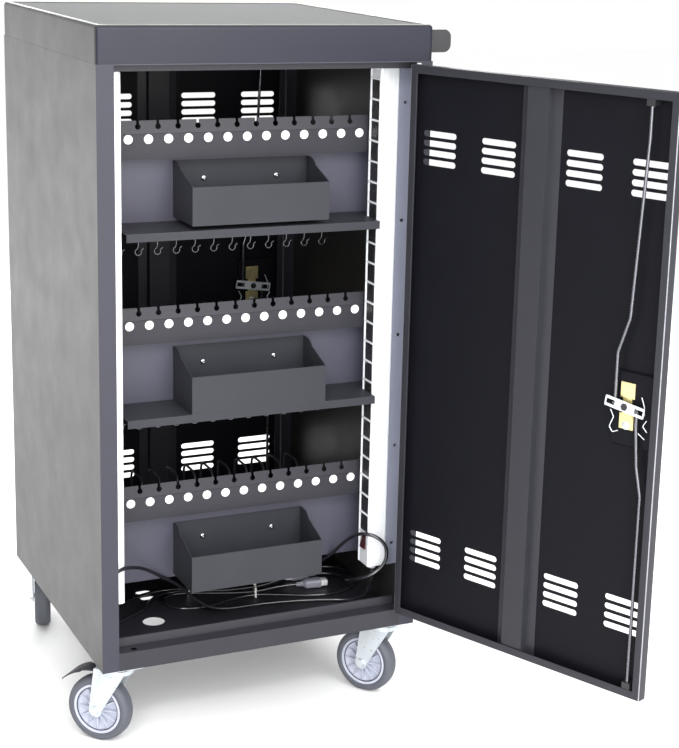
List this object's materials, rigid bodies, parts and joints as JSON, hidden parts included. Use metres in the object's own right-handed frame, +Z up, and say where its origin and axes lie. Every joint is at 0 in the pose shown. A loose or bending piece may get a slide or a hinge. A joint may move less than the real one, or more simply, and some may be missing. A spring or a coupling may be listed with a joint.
{
  "type": "laptop charging cart",
  "caption": "Sheet steel cabinet on braked swivel casters with two lockable doors, tiers of charger trays, slotted cord rails, wire dividers and power strips.",
  "frame": {"origin": "on the floor, under the middle of the whole cart's box with its near door open as in the picture", "axes": "+Z up, -Y out of the open near doorway, +X towards the push handle"},
  "size_m": [0.861, 1.22, 1.304],
  "materials": {
    "aluminium": "white coated extrusion",
    "cord": "grey flexible jacket",
    "disc": "white printed label",
    "handle": "black moulded plastic",
    "housing": "black moulded plastic",
    "hub": "light grey moulded nylon",
    "mat": "pebbled grey-green rubber",
    "nylon": "natural nylon",
    "painted": "satin black powder coat",
    "pedal_dark": "black coated steel",
    "plug": "grey moulded plug",
    "rocker": "dark red moulded plastic",
    "socket": "black moulded plastic",
    "tie": "white strip",
    "tyre": "grey rubber",
    "yellow_zinc": "yellow chromate zinc plate",
    "zinc": "bright zinc plate"
  },
  "bodies": {
    "cabinet": {"side_panel_left": "painted", "side_panel_right": "painted", "base_pan": "painted", "headers": "painted", "top_cap": "painted", "top_mat": "mat", "push_handle": "handle", "device_shelves": "painted", "cord_walls": "painted", "cord_rails": "painted", "number_discs": "disc", "adapter_trays": "painted", "tray_screws": "zinc", "divider_wires": "painted", "power_strip_housings": "aluminium", "power_strip_sockets": "socket", "power_strip_brackets": "aluminium", "post_knuckles": "painted", "hinge_pins": "zinc", "caster_plates": "zinc", "supply_cord_left": "cord", "supply_cord_right": "cord", "supply_plugs": "plug", "cord_ties": "tie"},
    "near_door": {"near_door_skin": "painted", "near_door_stiffener": "painted", "near_door_knuckles": "painted", "near_lock_housing": "housing", "near_rod_guides": "nylon"},
    "near_lock": {"near_lock_cams": "yellow_zinc", "near_lock_handle": "handle"},
    "near_upper_rod": {"near_upper_rod": "zinc"},
    "near_lower_rod": {"near_lower_rod": "zinc"},
    "far_door": {"far_door_skin": "painted", "far_door_stiffener": "painted", "far_door_knuckles": "painted", "far_lock_housing": "housing", "far_rod_guides": "nylon"},
    "far_lock": {"far_lock_cams": "yellow_zinc", "far_lock_handle": "handle"},
    "far_upper_rod": {"far_upper_rod": "zinc"},
    "far_lower_rod": {"far_lower_rod": "zinc"},
    "rocker_left": {"rocker_left": "rocker"},
    "rocker_right": {"rocker_right": "rocker"},
    "front_left_swivel": {"front_left_fork": "zinc"},
    "front_left_wheel": {"front_left_tyre": "tyre", "front_left_hub": "hub"},
    "front_left_pedal": {"front_left_brake_pedal": "pedal_dark"},
    "front_right_swivel": {"front_right_fork": "zinc"},
    "front_right_wheel": {"front_right_tyre": "tyre", "front_right_hub": "hub"},
    "front_right_pedal": {"front_right_brake_pedal": "zinc"},
    "rear_left_swivel": {"rear_left_fork": "zinc"},
    "rear_left_wheel": {"rear_left_tyre": "tyre", "rear_left_hub": "hub"},
    "rear_left_pedal": {"rear_left_brake_pedal": "zinc"},
    "rear_right_swivel": {"rear_right_fork": "zinc"},
    "rear_right_wheel": {"rear_right_tyre": "tyre", "rear_right_hub": "hub"},
    "rear_right_pedal": {"rear_right_brake_pedal": "zinc"}
  },
  "joints": [
    {"name": "near_door_hinge", "type": "hinge", "parent": "cabinet", "child": "near_door", "pos_m": [0.20638, -0.08942, 0.158], "axis": [0, 0, 1], "range_deg": [-113.6, 56.4]},
    {"name": "near_lock_turn", "type": "hinge", "parent": "near_door", "child": "near_lock", "pos_m": [0.3973, -0.53964, 0.708], "axis": [0.9164, 0.4003, 0], "range_deg": [0, 42]},
    {"name": "near_upper_rod_slide", "type": "slide", "parent": "near_door", "child": "near_upper_rod", "axis": [0, 0, 1], "range_m": [0, 0.02323]},
    {"name": "near_lower_rod_slide", "type": "slide", "parent": "near_door", "child": "near_lower_rod", "axis": [0, 0, -1], "range_m": [0, 0.02323]},
    {"name": "far_door_hinge", "type": "hinge", "parent": "cabinet", "child": "far_door", "pos_m": [-0.35362, 0.54918, 0.158], "axis": [0, 0, 1], "range_deg": [0, 170]},
    {"name": "far_lock_turn", "type": "hinge", "parent": "far_door", "child": "far_lock", "pos_m": [0.13538, 0.54388, 0.708], "axis": [0, 1, 0], "range_deg": [0, 42]},
    {"name": "far_upper_rod_slide", "type": "slide", "parent": "far_door", "child": "far_upper_rod", "axis": [0, 0, 1], "range_m": [0, 0.02323]},
    {"name": "far_lower_rod_slide", "type": "slide", "parent": "far_door", "child": "far_lower_rod", "axis": [0, 0, -1], "range_m": [0, 0.02323]},
    {"name": "rocker_left_tilt", "type": "hinge", "parent": "cabinet", "child": "rocker_left", "pos_m": [-0.32562, 0.01588, 0.302], "axis": [0, 1, 0], "range_deg": [0, 14]},
    {"name": "rocker_right_tilt", "type": "hinge", "parent": "cabinet", "child": "rocker_right", "pos_m": [0.17838, 0.01588, 0.302], "axis": [0, -1, 0], "range_deg": [0, 14]},
    {"name": "front_left_swivel_turn", "type": "hinge", "parent": "cabinet", "child": "front_left_swivel", "pos_m": [-0.34162, -0.04212, 0.158], "axis": [0, 0, 1], "continuous": true},
    {"name": "front_left_wheel_spin", "type": "hinge", "parent": "front_left_swivel", "child": "front_left_wheel", "pos_m": [-0.36777, -0.01456, 0.0625], "axis": [-0.7254, -0.6884, 0], "continuous": true},
    {"name": "front_left_pedal_press", "type": "hinge", "parent": "front_left_swivel", "child": "front_left_pedal", "pos_m": [-0.36227, -0.02036, 0.1337], "axis": [-0.7254, -0.6884, 0], "range_deg": [0, 10]},
    {"name": "front_right_swivel_turn", "type": "hinge", "parent": "cabinet", "child": "front_right_swivel", "pos_m": [0.19438, -0.04212, 0.158], "axis": [0, 0, 1], "continuous": true},
    {"name": "front_right_wheel_spin", "type": "hinge", "parent": "front_right_swivel", "child": "front_right_wheel", "pos_m": [0.17259, -0.01099, 0.0625], "axis": [-0.8192, -0.5736, 0], "continuous": true},
    {"name": "front_right_pedal_press", "type": "hinge", "parent": "front_right_swivel", "child": "front_right_pedal", "pos_m": [0.17718, -0.01755, 0.1337], "axis": [-0.8192, -0.5736, 0], "range_deg": [0, 10]},
    {"name": "rear_left_swivel_turn", "type": "hinge", "parent": "cabinet", "child": "rear_left_swivel", "pos_m": [-0.34162, 0.50188, 0.158], "axis": [0, 0, 1], "continuous": true},
    {"name": "rear_left_wheel_spin", "type": "hinge", "parent": "rear_left_swivel", "child": "rear_left_wheel", "pos_m": [-0.33178, 0.53859, 0.0625], "axis": [-0.9659, 0.2588, 0], "continuous": true},
    {"name": "rear_left_pedal_press", "type": "hinge", "parent": "rear_left_swivel", "child": "rear_left_pedal", "pos_m": [-0.33385, 0.53086, 0.1337], "axis": [-0.9659, 0.2588, 0], "range_deg": [0, 10]},
    {"name": "rear_right_swivel_turn", "type": "hinge", "parent": "cabinet", "child": "rear_right_swivel", "pos_m": [0.19438, 0.50188, 0.158], "axis": [0, 0, 1], "continuous": true},
    {"name": "rear_right_wheel_spin", "type": "hinge", "parent": "rear_right_swivel", "child": "rear_right_wheel", "pos_m": [0.17538, 0.46897, 0.0625], "axis": [0.866, -0.5, 0], "continuous": true},
    {"name": "rear_right_pedal_press", "type": "hinge", "parent": "rear_right_swivel", "child": "rear_right_pedal", "pos_m": [0.17938, 0.4759, 0.1337], "axis": [0.866, -0.5, 0], "range_deg": [0, 10]}
  ],
  "couplings": [
    {"joint": "near_upper_rod_slide", "follows": "near_lock_turn", "m_per_rad": 0.031549},
    {"joint": "near_lower_rod_slide", "follows": "near_lock_turn", "m_per_rad": 0.031549},
    {"joint": "far_upper_rod_slide", "follows": "far_lock_turn", "m_per_rad": 0.031549},
    {"joint": "far_lower_rod_slide", "follows": "far_lock_turn", "m_per_rad": 0.031549}
  ]
}
